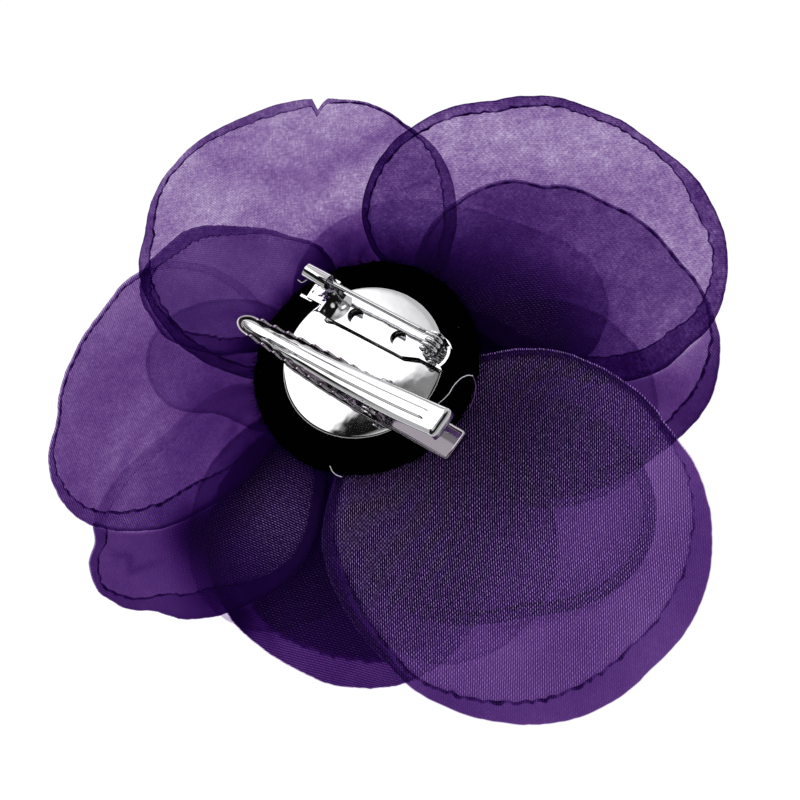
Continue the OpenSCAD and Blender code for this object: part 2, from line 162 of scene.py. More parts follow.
def loft(rings):
    """Faces between closed rings of equal length, with flat caps at both ends."""
    count = len(rings[0])
    points = np.concatenate(rings)
    faces = []
    for i in range(len(rings) - 1):
        for j in range(count):
            k = (j + 1) % count
            faces.append((i * count + j, i * count + k, (i + 1) * count + k, (i + 1) * count + j))
    last = (len(rings) - 1) * count
    faces.append(tuple(range(count))[::-1])
    faces.append(tuple(range(last, last + count)))
    return points, faces


def tube(path, radius, sides=12):
    """A round tube along a path, whose frame turns as little as it can."""
    path = np.asarray(path, float)
    radius = np.broadcast_to(np.asarray(radius, float), (len(path),))
    along = np.gradient(path, axis=0)
    along /= np.linalg.norm(along, axis=1)[:, None]
    side = np.cross(along[0], [0.3, 0.5, 0.81])
    rings = []
    for point, way, r in zip(path, along, radius):
        side = side - way * (side @ way)
        side /= np.linalg.norm(side)
        other = np.cross(way, side)
        angle = TAU * np.arange(sides) / sides
        rings.append(point + r * (np.outer(np.cos(angle), side) + np.outer(np.sin(angle), other)))
    return loft(rings)


def join(parts):
    points, faces, base = [], [], 0
    for part_points, part_faces in parts:
        points.append(part_points)
        faces += [tuple(i + base for i in face) for face in part_faces]
        base += len(part_points)
    return np.concatenate(points), faces


def smooth_step(value, low, high):
    t = np.clip((value - low) / (high - low), 0, 1)
    return t * t * (3 - 2 * t)


def curve(table, degrees):
    """Smooth closed curve through a table of direction and value."""
    table = sorted(table)
    fine = np.arange(0, 360, 0.5)
    values = np.interp(fine, [a for a, _ in table], [v for _, v in table], period=360)
    reach = 32
    kernel = np.exp(-0.5 * (np.arange(-reach, reach + 1) / 10) ** 2)
    kernel /= kernel.sum()
    values = np.convolve(np.concatenate([values[-reach:], values, values[:reach]]), kernel, "valid")
    return np.interp(np.asarray(degrees) % 360, fine, values, period=360)


def ripple(x, y, seed, length, count=7):
    """Soft seeded waves over a plane, about -1 to 1, with the given wavelength."""
    rng = np.random.default_rng(seed)
    total = 0
    for _ in range(count):
        way = rng.uniform(0, TAU)
        size = length * rng.uniform(0.7, 1.5)
        along = x * math.cos(way) + y * math.sin(way)
        total = total + np.cos(TAU / size * along + rng.uniform(0, TAU))
    return total / math.sqrt(count)


def ragged(degrees, seed, low, high, fall=0.7):
    """Seeded closed line noise round a rim."""
    rng = np.random.default_rng(seed)
    total = 0
    for order in range(low, high):
        size = (low / order) ** fall * rng.normal()
        total = total + size * np.cos(order * np.radians(degrees) + rng.uniform(0, TAU))
    return total / math.sqrt(high - low)


# Petals. Each row: direction and distance of its centre, radius, oval, oval's direction,
# three-cornered share and its direction, layer, and the direction of the weave.
PETALS = {
    "petal_right": (-16.5, 38, 31.9, 0.015, 0, 0.005, 80, 0, -15),
    "petal_upper_left": (176, 30.5, 15, 0.21, 23, 0.02, 45, 0, 62),
    "petal_top_right": (75, 40, 28.5, 0.17, 0, 0.04, 87, 1, 68),
    "petal_left": (-148, 37, 23.5, 0.05, 100, 0.065, 15, 1, 8),
    "petal_top": (150, 34.5, 29, 0.02, 5, 0.015, 75, 2, 33),
    "petal_lower_left": (-114, 35, 20.5, 0.13, 65, 0.07, 105, 2, 44),
    "petal_far_right": (51, 31.5, 27.5, 0.1, 140, 0.07, 35, 3, 17),
    "petal_bottom": (-71, 28, 23.5, 0.095, 0, 0.015, 115, 3, 58),
    "petal_under": (-13, 28.5, 22.5, 0.13, 40, 0.025, 15, 4, 69),
}
# Petals of the flower's face, in the same form
INNER_PETALS = {
    "inner_petal_1": (36, 26, 19, 0, 0, 0, 0, 0, 15),
    "inner_petal_2": (105, 26, 23.5, 0.22, 15, 0, 0, 0, 38),
    "inner_petal_3": (186, 30, 17.5, 0.33, 6, 0, 0, 0, 61),
    "inner_petal_4": (253, 26, 20, 0, 0, 0, 0, 0, 84),
    "inner_petal_5": (324, 26, 19, 0, 0, 0, 0, 0, 20),
}

# Swells and dips of each rim: direction about the petal's centre, spread and height
SWELLS = {
    "petal_right": [(-145, 12, 0.8), (-110, 12, -0.6), (-12, 15, -0.6), (65, 12, -0.9), (110, 14, 0.6)],
    "petal_upper_left": [(-132, 14, -0.9), (-68, 14, 0.5), (75, 14, -0.9), (178, 14, -1.2)],
    "petal_top_right": [(-130, 14, -0.7), (-12, 8, -0.8), (75, 14, -0.9), (118, 9, 0.6), (146, 9, -0.8)],
    "petal_left": [(-142, 11, -1.3), (-55, 15, 0.6), (0, 10, -0.8), (158, 14, -1)],
    "petal_top": [(-155, 9, -1.1), (78, 10, -0.8), (145, 12, -0.8)],
    "petal_lower_left": [(-139, 6, -1.3), (-120, 8, 0.5), (-90, 10, -1.4), (-55, 12, 0.4)],
    "petal_far_right": [(0, 20, 0.6), (88, 14, 1.2), (128, 7, -1.2)],
    "petal_bottom": [(-62, 22, 0.8)],
    "petal_under": [(-45, 14, -0.4)],
}

# Cut in the rim of the top petal: its direction, half width in degrees and depth
NOTCH_AT, NOTCH_HALF, NOTCH_DEPTH = 117.2, 2.6, 2.6

# How far the photograph's line of sight moves sideways between two layers of petals
SIGHT_SHIFT = (1.2, -0.7)
# Radius of a rolled rim, and how far the sheet lies below the petal's height and the roll's
# middle above it
ROLL, LIFT = 0.26, 0.12
# Marks of a petal's rings: the open sheet, the melted edge, the rolled rim and the flat fold
OPEN, MELTED, ROLLED, FLAT = 0.0, 0.5, 0.6, 1.0
# Width of a fold that has no row of its own
PLAIN_FOLD = [(0, 0.7), (180, 0.7)]

# Width of each folded rim, by direction
FOLDS = {
    "petal_right": [(-160, 1.5), (-135, 3), (-95, 2), (-30, 5.5), (10, 5), (60, 1.5), (90, 1)],
    "petal_upper_left": [(-160, 2), (-90, 3.5), (-30, 3), (40, 0.7), (100, 1), (165, 3)],
    "petal_top_right": [(-165, 1.5), (-145, 1), (-30, 5.5), (20, 2.5), (40, 3.5), (70, 1.3), (150, 2.5)],
    "petal_left": [(-140, 0.7), (-100, 2.3), (-45, 6), (0, 3.5), (60, 2), (150, 1)],
    "petal_top": [(-145, 2.2), (45, 2.4), (78, 0.6), (108, 0.6), (128, 2.4), (180, 1)],
    "petal_lower_left": [(-140, 2.7), (-118, 1.2), (-95, 3.2), (-60, 5.5), (0, 2.2), (180, 2)],
    "petal_far_right": [(-90, 2), (0, 4), (45, 0.7), (140, 0.7)],
    "petal_bottom": [(-120, 4.5), (-100, 3.6), (-60, 5), (0, 3.5), (90, 2.5), (180, 3)],
    "petal_under": [(-60, 2.4), (50, 2.2), (180, 2)],
}

# Where the melted inner edge of a fold is thick and dark, by direction
BEADS = {
    "petal_right": [(-150, 0.6), (-100, 1.3), (-70, 1.4), (-30, 1.2), (0, 0.6), (40, 0.6), (80, 0.25),
        (130, 0.2)],
    "petal_upper_left": [(-170, 0.5), (-140, 0.8), (-120, 1), (-90, 1), (-60, 0.8), (46, 0.8), (60, 0.3),
        (100, 0.15), (150, 0.35)],
    "petal_top_right": [(-160, 0.9), (-140, 0.7), (-30, 0.4), (0, 0.3), (30, 0.6), (50, 0.4), (80, 0.8),
        (110, 0.8), (140, 1), (165, 1.1)],
    "petal_left": [(-170, 0.9), (-130, 0.8), (-115, 0.7), (-95, 0.9), (-70, 1.3), (-50, 1.4), (-30, 0.9),
        (0, 0.6), (150, 0.8)],
    "petal_top": [(-165, 1.2), (-150, 0.9), (40, 0.6), (70, 0.8), (90, 1), (107, 1.4), (114, 0.5), (125, 0.4),
        (145, 0.5), (170, 0.7), (180, 1)],
    "petal_lower_left": [(-140, 0.8), (-120, 1), (-105, 1.3), (-90, 0.8), (-70, 0.5), (-30, 0.3), (90, 0.3)],
    "petal_far_right": [(-90, 0.3), (-10, 0.8), (15, 1.2), (35, 1), (60, 1.5), (90, 1.8), (130, 1.6),
        (180, 0.4)],
    "petal_bottom": [(-120, 0.3), (-60, 0.5), (90, 0.3)],
    "petal_under": [(-60, 1.5), (-20, 1.2), (20, 0.5), (90, 0), (180, 0), (-90, 1)],
}

# Creases in the cloth, darkened along their lines as painted shade: points about the flower's axis, half width
# and strength
CREASES = {
    "petal_top": [([(-36, 27), (-54, 22)], 3, 0.3), ([(-22, 54), (-33, 28)], 3.5, 0.42),
        ([(-35, 50), (-22, 54)], 2.5, 0.35)],
    "petal_left": [([(-31.5, -22), (-32.5, -28), (-32, -37), (-31, -42)], 1.1, 0.22),
        ([(-18, -15), (-17, -21), (-16, -26)], 1, 0.25)],
    "petal_lower_left": [([(-18, -44), (-22, -48), (-24, -46), (-27, -47)], 0.7, 0.35)],
    "petal_top_right": [([(12, 30), (30, 34)], 4, 0.2)],
    "petal_right": [([(41, -27), (44, -24), (49, -19), (53, -14.5), (55.5, -8), (57, -4)], 0.8, 0.5),
        ([(40, -1), (41.5, 1), (43.5, 6.5), (47, 10), (48.5, 15)], 0.7, 0.4)],
    "petal_bottom": [([(-2, -38), (6, -46)], 1.4, 0.4)],
}

# How dense each cloth is where it lies open, how dense its fold is, and how much thinner it
# is where the petals in front of it lie over it: their name, steps between the layers, change
TONES = {
    "petal_right": (2.25, -0.05, []),
    "petal_upper_left": (1.15, 0.5, []),
    "petal_top_right": (1.2, 0.95, []),
    "petal_left": (1.9, 0.5, [("petal_upper_left", 1, -1.8)]),
    "petal_top": (1.1, 0.7, [("petal_top_right", 1, -0.35)]),
    "petal_lower_left": (2.4, 0.5, [("petal_left", 1, -2.15)]),
    "petal_far_right": (2.0, 0.7, [("petal_top_right", 2, -1.1), ("petal_right", 3, -1.1)]),
    "petal_bottom": (4.75, -2.0, [("petal_lower_left", 1, -3.4), ("petal_right", 3, -3.7)]),
    "petal_under": (0.85, 0.3, []),
}
# Density of the inner petals at their rims, and how much it grows towards their roots
INNER_TONES = {"inner_petal_1": (0.4, 1.5), "inner_petal_2": (0.35, 3.7), "inner_petal_3": (0.35, 0.5),
    "inner_petal_4": (0.35, 1.2), "inner_petal_5": (0.35, 1.8)}
# Denser and thinner places, some of them painted shade, as the dark band on the lower left petal: their middle
# about the flower's axis, radius and change
SHADES = {
    "petal_right": [(22, -5, 13, 0.75), (48, 2, 10, -0.4), (25, 13, 8, 0.7)],
    "petal_top_right": [(4, 34, 9, 0.5), (17, 27, 9, 1.1)],
    "petal_top": [(-19, 19, 8, 1.1)],
    "petal_left": [(-17, -15, 8, 0.45), (-49, -10, 9, -0.35)],
    "petal_lower_left": [(-13, -36, 3.5, 1.2), (-10, -40, 4.5, 1.6), (-5, -43.5, 4, 1),
        (-15.4, -37.3, 4, 1.9), (-11.5, -31, 4, 2), (-10.5, -25, 4, 1.9), (-9, -20, 4, 1.4)],
    "petal_far_right": [(39, 24, 5, 0.5), (37, 34, 5, -0.4)],
    "petal_bottom": [(-2, -46, 3.2, 3), (5, -38, 8, 0.5)],
}
# Contrast of the regular weave and of the cloth's clouds, and the strength of the painted glints on its
# threads: everywhere, and at places about the flower's axis with their radius
GRAINS = {
    "petal_right": (0.6, 0.3, 0.85, [(44, -14, 10, 0.28), (52, -32, 11, -0.33), (24, 0, 13, -0.35),
        (26, 12, 8, -0.25)]),
    "petal_upper_left": (0.25, 0.35, 0.02, []),
    "petal_top_right": (0.2, 1.0, 0.02, [(14, 28, 10, 0.08)]),
    "petal_left": (0.28, 0.6, 0.01, []),
    "petal_top": (0.2, 1.0, 0.03, []),
    "petal_lower_left": (0.28, 0.3, 0.03, [(-1, -27, 8, 0.62)]),
    "petal_far_right": (0.2, 0.5, 0.04, []),
    "petal_bottom": (0.4, 0.4, 0.08, []),
    "petal_under": (0.1, 0.2, 0, []),
}


def oval(row, degrees):
    _, _, radius, long, long_at, tri, tri_at = row[:7]
    return radius * (1 + long * np.cos(np.radians(2 * (degrees - long_at)))
                     + tri * np.cos(np.radians(3 * (degrees - tri_at))))


def swell(name, degrees):
    total = np.zeros(np.shape(degrees))
    for middle, spread, height in SWELLS.get(name, []):
        gap = (degrees - middle + 180) % 360 - 180
        total = total + height * np.exp(-(gap / spread) ** 2)
    return total


def outer_height(x, y, layer):
    k = np.clip((np.hypot(x, y) - 8) / 54, 0, 1.4)
    lean = 5 * k * np.cos(np.arctan2(y, x) - math.radians(152))
    return 28 - 5 * k ** 1.5 + lean - layer * (1.4 + 2.5 * k)


def inner_height(x, y, direction):
    way = math.radians(direction)
    k = np.clip((np.hypot(x, y) - 7) / 38, 0, 1)
    return 19.8 - 18 * k ** 0.9 + 0.17 * np.clip(y * math.cos(way) - x * math.sin(way), -12, 12)


def sheet_height(row, inner, x, y, q, degrees):
    away = np.clip((np.hypot(x, y) - 15) / 25, 0, 1)
    cup = 0.9 * (q * q - 0.4) + 0.35 * q ** 3 * np.cos(np.radians(5 * (degrees - row[0])))
    base = inner_height(x, y, row[0]) if inner else outer_height(x, y, row[7])
    return base + away * cup


def within(front, steps, x, y):
    """1 where a petal some layers in front covers a place, along the photograph's line of sight."""
    row = PETALS[front]
    way = math.radians(row[0])
    dx = x - row[1] * math.cos(way) + SIGHT_SHIFT[0] * steps
    dy = y - row[1] * math.sin(way) + SIGHT_SHIFT[1] * steps
    around = np.degrees(np.arctan2(dy, dx))
    return smooth_step(oval(row, around) + swell(front, around) - np.hypot(dx, dy), -0.1, 1.3)


def cloth_tone(name, x, y):
    """Density of a petal's cloth at a place, before its folds."""
    out = np.hypot(x, y)
    if name in INNER_TONES:
        rim, root = INNER_TONES[name]
        return rim + root * smooth_step(-out, -44, -17)
    tone, _, covers = TONES[name]
    total = tone + 0.4 * smooth_step(-out, -34, -20) + 1.6 * smooth_step(-out, -26, -18)
    for front, steps, change in covers:
        total = np.minimum(total, tone + change * within(front, steps, x, y))
    for px, py, radius, change in SHADES.get(name, []):
        total = total + change * np.exp(-((x - px) ** 2 + (y - py) ** 2) / radius ** 2)
    return total


def hem_levels(rim, width, bead_r, rows):
    """A petal's rings: distance to its centre, height over the sheet, mark and bead."""
    edge = rim - ROLL
    level = np.zeros(len(rim))
    levels = []
    for q in np.linspace(0, 1, rows + 1)[1:] ** 0.8:
        levels.append((q * edge, level - LIFT - 0.02 * q, OPEN, 0.0))
    for beta in np.radians([-55, -20, 15, 50, 90]):
        levels.append((edge + ROLL * np.cos(beta), level + LIFT + ROLL * np.sin(beta), ROLLED, 0.0))
    flat_width = width - ROLL - bead_r
    for t in (0.12, 0.3, 0.5, 0.7, 0.88, 1.0):
        height = level + LIFT + ROLL * (1 - 0.5 * t)
        levels.append((edge - t * flat_width, height, FLAT, 0.25 * (t == 1)))
    for beta in np.radians([60, 10, -45, -100, -150]):
        height = LIFT + ROLL * 0.5 - bead_r + bead_r * np.sin(beta)
        levels.append((rim - width + bead_r - bead_r * np.cos(beta), height, MELTED, 1.0))
    return levels


def crease_lines(name, x, y, steps=60):
    """How strongly each place lies in one of the petal's creases, which darkens the cloth there as painted
    shade.
    """
    total = np.zeros(len(x))
    for knots, half, strength in CREASES.get(name, []):
        along = np.linspace(0, len(knots) - 1, steps)
        line = [np.interp(along, range(len(knots)), axis) for axis in zip(*knots)]
        gap = np.hypot(x[:, None] - line[0], y[:, None] - line[1])
        nearest = gap.argmin(axis=1)
        ends = np.sin(math.pi * (0.06 + 0.88 * nearest / (steps - 1))) ** 0.5
        total += strength * ends * np.exp(-(gap.min(axis=1) / half) ** 2)
    return total


def petal(name, row, seed, material, inner=False, segments=240, rows=30):
    """A sheet with its rim rolled over and folded inwards to a thin melted edge."""
    degrees = 360 * np.arange(segments) / segments
    angle = np.radians(degrees)
    centre = row[1] * np.array([math.cos(math.radians(row[0])), math.sin(math.radians(row[0]))])
    base_oval = oval(row, degrees)
    rim = base_oval + swell(name, degrees)
    rim = rim + 0.09 * ragged(degrees, seed, 12, 40) + 0.05 * ragged(degrees, seed + 1, 40, 110)
    if name == "petal_top":
        rim = rim - NOTCH_DEPTH * np.clip(1 - np.abs(degrees - NOTCH_AT) / NOTCH_HALF, 0, 1)
    width = curve(FOLDS.get(name, PLAIN_FOLD), degrees)
    width = width + 0.16 * ragged(degrees, seed + 2, 30, 110, 0.3) * np.clip(width - 0.4, 0.3, 1)
    width = np.maximum(width, 0.62)
    strong = curve(BEADS.get(name, [(0, 0), (180, 0)]), degrees)
    fold_tone = 0.15 if inner else TONES[name][1]
    knobs = np.clip(0.55 + 0.75 * ragged(degrees, seed + 3, 18, 110, 0.15), 0.12, 1.6)
    bead_r = np.clip(0.09 + 0.17 * strong * (0.5 + 0.6 * knobs), 0.06, 0.4)
    bead_tone = 1.25 * strong * knobs

    levels = hem_levels(rim, width, bead_r, rows)
    first_z = sheet_height(row, inner, centre[:1], centre[1:], np.zeros(1), np.zeros(1))[0]
    points = [[[centre[0], centre[1], first_z - LIFT]]]
    flat = [np.zeros((1, 2))]
    fold, bead, under = [OPEN], [0.0], [0.0]
    for distance, height, mark, is_bead in levels:
        x = centre[0] + distance * np.cos(angle)
        y = centre[1] + distance * np.sin(angle)
        out = np.hypot(x, y)
        z = sheet_height(row, inner, x, y, distance / base_oval, degrees)
        free = smooth_step(out, 16, 34)
        z = z + 0.16 * free * ripple(x, y, seed + 5, 17) + 0.05 * free * ripple(x, y, seed + 6, 6)
        calm = 0.25 + 0.75 * smooth_step(out, 17, 25)
        points.append(np.c_[x, y, z + height * calm])
        flat.append(np.c_[x - centre[0], y - centre[1]])
        fold += [mark] * segments
        bead += list(is_bead * bead_tone)
        under += list(smooth_step(distance, rim - width - 0.5, rim - width + 0.3))
    points = np.concatenate(points)
    flat = np.concatenate(flat)

    out = np.hypot(points[:, 0], points[:, 1])
    around = np.arctan2(points[:, 1], points[:, 0])
    gather = smooth_step(-out, -36, -18)
    gathers = ripple(around * 14, out * 0.18, seed + 9, 2.2)
    points[:, 2] += 0.12 * gather * np.clip(gathers, -1, 1)
    # Darkening of the cloth in its gathers and creases: partly denser gathered cloth, partly painted shade
    # along the creases
    pleat_shade = 0.3 * gather * np.clip(gathers, -0.3, 1.6) + crease_lines(name, points[:, 0], points[:, 1])
    pleat_shade += 0.1 * ripple(points[:, 0], points[:, 1], seed + 10, 22)

    faces = [(0, 1 + j, 1 + (j + 1) % segments) for j in range(segments)]
    for i in range(len(levels) - 1):
        low = 1 + i * segments
        for j in range(segments):
            k = (j + 1) % segments
            faces.append((low + j, low + segments + j, low + segments + k, low + k))
    points[:, 0] += HUB[0]
    points[:, 1] += HUB[1]
    points[:, 2] += DATUM
    piece = mesh_piece(name + "_cloth", points, faces, material)
    x, y = points[:, 0] - HUB[0], points[:, 1] - HUB[1]
    fold, under = np.array(fold), np.array(under)
    tone = cloth_tone(name, x, y)
    base = cloth_tone(name, *(1.5 * centre)) if inner else TONES[name][0]
    thinned = np.clip(tone / base, 0, 1.5)
    tone = tone + min(fold_tone, 0) * under * np.clip(thinned, 0, 1)
    folded = max(fold_tone, 0.15) * np.clip(thinned, 0.2, 1.5)
    rolled = 0.75 if name == "petal_right" else 1.5
    share = np.where(fold == FLAT, 1, np.where(fold == ROLLED, rolled, 0.75))
    attribute(piece, "tone", np.where(fold > OPEN, folded * share, tone))
    bead = np.array(bead) * np.clip(1.5 * thinned - 0.2, 0.1, 1)
    attribute(piece, "bead", bead * (0.3 if inner else 1))
    attribute(piece, "pleat_shade", pleat_shade)
    weave, cloud, painted_glint, places = GRAINS.get(name, (0.1, 0.4, 0.03, []))
    attribute(piece, "woven", weave * (1 + (1.2 if weave < 0.5 else -0.85) * under))
    veil = within("petal_upper_left", 1, x, y) * (name == "petal_top")
    attribute(piece, "cloud", cloud * (1 - 0.7 * veil))
    # Painted glints on the threads: one strength everywhere, more or less at the listed places
    painted_glint = np.full(len(points), painted_glint)
    for px, py, radius, more in places:
        painted_glint += more * np.exp(-((x - px) ** 2 + (y - py) ** 2) / radius ** 2)
    # A painted glint along the rolled rim of the right petal
    direction = np.r_[0, np.tile(degrees, len(levels))]
    edge = 1.3 * smooth_step(-np.abs(direction - 100), -60, -25) * (name == "petal_right")
    painted_glint = np.maximum(painted_glint, 0) * np.where(fold > OPEN, 0.1, 1 - 0.95 * under)
    attribute(piece, "painted_glint", painted_glint + np.where(fold == ROLLED, edge, 0))

    turn = math.radians(row[8])
    x, y = flat.T
    u = x * math.cos(turn) + y * math.sin(turn) + 0.3 * ripple(x, y, seed + 7, 34)
    v = -x * math.sin(turn) + y * math.cos(turn) + 0.3 * ripple(x, y, seed + 8, 34)
    layer = piece.data.uv_layers.new(name="weave")
    corners = np.empty(len(piece.data.loops), int)
    piece.data.loops.foreach_get("vertex_index", corners)
    layer.data.foreach_set("uv", np.c_[u, v][corners].ravel())

    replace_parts(piece, name)


def organza():
    """Sheer woven cloth: a colour filter that deepens with each layer, and painted glints on its threads."""
    material, n = new_material("organza")
    uv = n.add("ShaderNodeUVMap", uv_map="weave").outputs[0]
    attr = {key: n.add("ShaderNodeAttribute", attribute_name=key).outputs["Fac"]
            for key in ("tone", "bead", "pleat_shade", "woven", "cloud", "painted_glint")}
    shift = n.add("ShaderNodeTexNoise", {"Vector": uv, "Scale": 0.5}).outputs["Color"]
    shaken = n.add("ShaderNodeVectorMath", {0: shift, 1: (0.2, 0.2, 0.2), 2: uv}, operation="MULTIPLY_ADD")
    parts = n.add("ShaderNodeSeparateXYZ", {0: shaken.outputs[0]})
    warp_pitch, weft_pitch = 0.558, 0.491
    u = n.math("MULTIPLY", parts.outputs[0], TAU / warp_pitch)
    v = n.math("MULTIPLY", parts.outputs[1], TAU / weft_pitch)
    rows_across = n.math("ADD", n.math("COSINE", u), n.math("COSINE", v))
    weave = n.math("ADD", rows_across, n.math("MULTIPLY", n.math("COSINE", n.math("ADD", u, v)), 9))

    dashes = []
    for stretch in ((1.4, 5.0, 1), (5.0, 1.4, 1)):
        long = n.add("ShaderNodeVectorMath", {0: uv, 1: stretch}, operation="MULTIPLY").outputs[0]
        dashes.append(n.noise(long, 0.62, 3, 0.7))
    broad = n.noise(uv, 0.3, 3, 0.6)
    cloud = n.math("ADD", n.math("ADD", dashes[0], dashes[1]), n.math("MULTIPLY", broad, 0.7))
    cloud = n.math("MULTIPLY", n.span(cloud, 0.95, 1.75, -0.5, 0.5), attr["cloud"])
    mottle = n.math("ADD", n.math("MULTIPLY", n.math("MULTIPLY", weave, attr["woven"]), -0.065), cloud)
    # Adds the darkening of the gathers and creases, partly painted shade
    mottle = n.math("ADD", mottle, attr["pleat_shade"])
    density = n.math("ADD", attr["tone"], n.math("MULTIPLY", mottle, n.math("MINIMUM", attr["tone"], 1.3)))
    density = n.math("ADD", density, attr["bead"])
    density = n.math("MAXIMUM", density, 0.02)
    red, green, blue = 0.335, 0.213, 0.445      # light let through at a density of 1
    green_density = n.math("MULTIPLY", density, n.span(density, 1.0, 2.0, 0.94, 1.0))
    filter_colour = n.add("ShaderNodeCombineColor", {
        "Red": n.math("POWER", red, density),
        "Green": n.math("POWER", green, green_density),
        "Blue": n.math("POWER", blue, density)})
    clear = n.add("ShaderNodeBsdfTransparent", {"Color": filter_colour.outputs[0]})

    # Painted glints: thread crossings show bright where the glint strength on the mesh places them
    crossing = n.math("MULTIPLY", n.span(weave, 5.5, 10.3), n.span(dashes[0], 0.35, 0.62, 0.35, 1.0))
    crossing = n.math("MULTIPLY", crossing, n.span(n.noise(uv, 2.7, 1), 0.4, 0.62, 0.55, 1.6))
    bright = n.math("MULTIPLY", crossing, attr["painted_glint"])
    thread = n.add("ShaderNodeBsdfDiffuse", {"Color": (0.64, 0.39, 0.94, 1), "Roughness": 0.5})
    soft = n.add("ShaderNodeBsdfDiffuse", {"Color": (0.3, 0.055, 0.85, 1), "Roughness": 0.5})
    cloth = n.add("ShaderNodeMixShader", {0: 0.02, 1: clear.outputs[0], 2: soft.outputs[0]})
    n.output(n.add("ShaderNodeMixShader", {0: bright, 1: cloth.outputs[0], 2: thread.outputs[0]}).outputs[0])
    return material


def knot_material():
    material, n = new_material("knot_cloth")
    place = n.add("ShaderNodeTexCoord").outputs["Object"]
    tone = n.blend(n.noise(place, 900, 4), (0.03, 0.008, 0.07, 1), (0.1, 0.04, 0.2, 1))
    normal = n.bump(n.noise(place, 2200, 3), strength=0.5, distance=0.0002)
    n.output(n.add("ShaderNodeBsdfPrincipled", {"Base Color": tone, "Roughness": 0.8, "Sheen Weight": 0.3,
        "Normal": normal}).outputs[0])
    return material


def root_knot(material):
    """Gathered roots: a fluted stem and a pleated dome under the inner petals."""
    root_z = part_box("root_knot")[1][2] / MM
    top = 17.2 + DATUM
    profile = [(0.05, top - 4), (3, top - 3.75), (5.5, top - 2.9), (7.2, top - 1.8), (8.2, top - 0.9),
        (8.5, top - 0.15), (7.9, top - 0.02), (5, top - 0.05), (3.1, top + 0.1), (2.6, top + 0.9),
        (2.55, root_z - 1), (2.6, root_z), (0.05, root_z)]
    segments = 120
    angle = TAU * np.arange(segments) / segments
    rings = []
    for radius, z in profile:
        flute = 1 - 0.035 * (1 + np.cos(17 * angle + 0.6 * np.sin(3 * angle))) * min(1, radius / 3)
        r = radius * flute
        rings.append(np.c_[HUB[0] + r * np.cos(angle), HUB[1] + r * np.sin(angle), np.full(segments, z)])
    points, faces = loft(rings)
    piece = mesh_piece("root_knot_cloth", points, faces, material)
    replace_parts(piece, "root_knot")


add_camera()
cloth = organza()
for index, (name, row) in enumerate(PETALS.items()):
    petal(name, row, 100 + 20 * index, cloth)
for index, (name, row) in enumerate(INNER_PETALS.items()):
    petal(name, row, 400 + 20 * index, cloth, inner=True, segments=160, rows=20)
root_knot(knot_material())


# Felt pad, disc and metal pieces
def steel(name, dome=0.0, waves=0.12, rough=0.03, dents=None, nose=None, lean=None, shade=1.0):
    """Polished plated steel, with faint wear in its gloss, soft waves in its face and painted shade that
    darkens its upright faces.
    """
    material, n = new_material(name)
    place = n.add("ShaderNodeTexCoord").outputs["Object"]
    wear = n.span(n.noise(place, 420, 4, 0.6), 0.35, 0.7, rough, rough + 0.06)
    # shade darkens the whole colour, as painted shade on the lower jaw's tray
    dull = (0.93 * shade, 0.92 * shade ** 1.3, 0.95 * shade, 1)
    clean = (0.98 * shade, 0.975 * shade ** 1.3, 0.99 * shade, 1)
    tone = n.blend(n.noise(place, 160, 2), dull, clean)
    # Painted shade: the colour is darkened on faces that stand upright, down to a sixth on vertical ones
    facing = n.add("ShaderNodeNewGeometry").outputs["True Normal"]
    faces_up = n.add("ShaderNodeSeparateXYZ", {0: facing}).outputs[2]
    sides = n.span(n.math("ABSOLUTE", faces_up), 0.1, 0.8, 0.16, 1.0)
    tone = n.blend(sides, (0, 0, 0, 1), tone)
    normal = n.bump(n.noise(place, 260, 2), strength=waves, distance=0.0002)
    if dome:
        out = n.distance(place, (HUB[0], HUB[1], DISC_TOP))
        normal = n.bump(n.math("MULTIPLY", n.math("POWER", out, 2), -dome), normal)
    if dents:
        middle, size, depth = dents
        near = n.span(n.distance(place, middle), 0.4 * size * MM, size * MM, depth * MM, 0)
        normal = n.bump(n.math("MULTIPLY", n.noise(place, 380, 1), near), normal)
    if nose:
        middle, reach = nose
        past = n.math("MAXIMUM", n.math("SUBTRACT", n.distance(place, middle), reach * MM), 0)
        normal = n.bump(n.math("MULTIPLY", n.math("POWER", past, 2), 4.2), normal)
    if lean:
        normal = n.bump(n.dot(place, lean), normal)
    n.output(n.add("ShaderNodeBsdfPrincipled", {"Base Color": tone, "Metallic": 1.0, "Roughness": wear,
        "Normal": normal}).outputs[0])
    return material


def felt_material():
    """Black felt: matted fibres with a few pale specks of lint."""
    material, n = new_material("black_felt")
    place = n.add("ShaderNodeTexCoord").outputs["Object"]
    mat = n.noise(place, 2600, 5, 0.7)
    speck = n.span(n.noise(place, 1900, 1), 0.79, 0.84)
    tone = n.blend(mat, (0.0001, 0.0001, 0.0002, 1), (0.0009, 0.0009, 0.0012, 1))
    dusty = n.blend(speck, tone, (0.12, 0.11, 0.13, 1))
    normal = n.bump(mat, strength=0.8, distance=0.0003)
    n.output(n.add("ShaderNodeBsdfPrincipled", {"Base Color": dusty, "Roughness": 1.0,
        "Specular IOR Level": 0.0, "Normal": normal}).outputs[0])
    return material


def thread_material(name, colour):
    material, n = new_material(name)
    place = n.add("ShaderNodeTexCoord").outputs["Object"]
    tone = n.blend(n.noise(place, 3000, 2), colour, tuple(0.8 * c for c in colour[:3]) + (1,))
    n.output(n.add("ShaderNodeBsdfPrincipled", {"Base Color": tone, "Roughness": 0.45}).outputs[0])
    return material


def lathe(profile, segments):
    angle = TAU * np.arange(segments) / segments
    rings = []
    for r, z in profile:
        rings.append(np.c_[HUB[0] + r * np.cos(angle), HUB[1] + r * np.sin(angle), np.full(segments, z)])
    return rings


